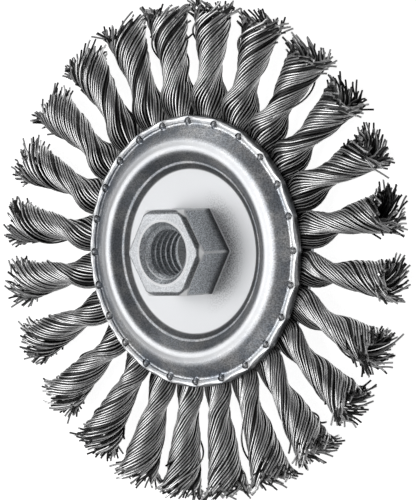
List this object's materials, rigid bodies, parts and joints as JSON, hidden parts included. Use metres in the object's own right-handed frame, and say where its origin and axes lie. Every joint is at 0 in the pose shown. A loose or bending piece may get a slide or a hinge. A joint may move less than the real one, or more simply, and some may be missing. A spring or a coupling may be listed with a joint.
{
  "type": "wire wheel brush",
  "caption": "Round brush of twisted steel wire knots clamped between two pressed plates on a hexagonal threaded hub, for an angle grinder.",
  "frame": {"origin": "on the wheel's axis, in the plane that the crest of the back plate rests on", "axes": "+Z along the wheel's axis, out of the nut's mouth; +X through a corner of the nut, +Y through a bead of the rim"},
  "size_m": [0.1248, 0.1248, 0.0207],
  "materials": {
    "zinc_plate": "bright zinc plated sheet, lightly mottled",
    "zinc_nut": "grained zinc plating over a forged hexagon",
    "core_steel": "plain pressed steel",
    "knot_wire": "drawn steel wire, dark with bright flanks"
  },
  "bodies": {
    "root": {"back_plate": "zinc_plate", "back_spacer": "core_steel", "core_disc": "core_steel", "front_plate": "zinc_plate", "front_spacer": "core_steel", "hub_nut": "zinc_nut", "knot_01": "knot_wire", "knot_02": "knot_wire", "knot_03": "knot_wire", "knot_04": "knot_wire", "knot_05": "knot_wire", "knot_06": "knot_wire", "knot_07": "knot_wire", "knot_08": "knot_wire", "knot_09": "knot_wire", "knot_10": "knot_wire", "knot_11": "knot_wire", "knot_12": "knot_wire", "knot_13": "knot_wire", "knot_14": "knot_wire", "knot_15": "knot_wire", "knot_16": "knot_wire", "knot_17": "knot_wire", "knot_18": "knot_wire", "knot_19": "knot_wire", "knot_20": "knot_wire", "knot_21": "knot_wire", "knot_22": "knot_wire", "knot_23": "knot_wire", "knot_24": "knot_wire"}
  },
  "joints": []
}
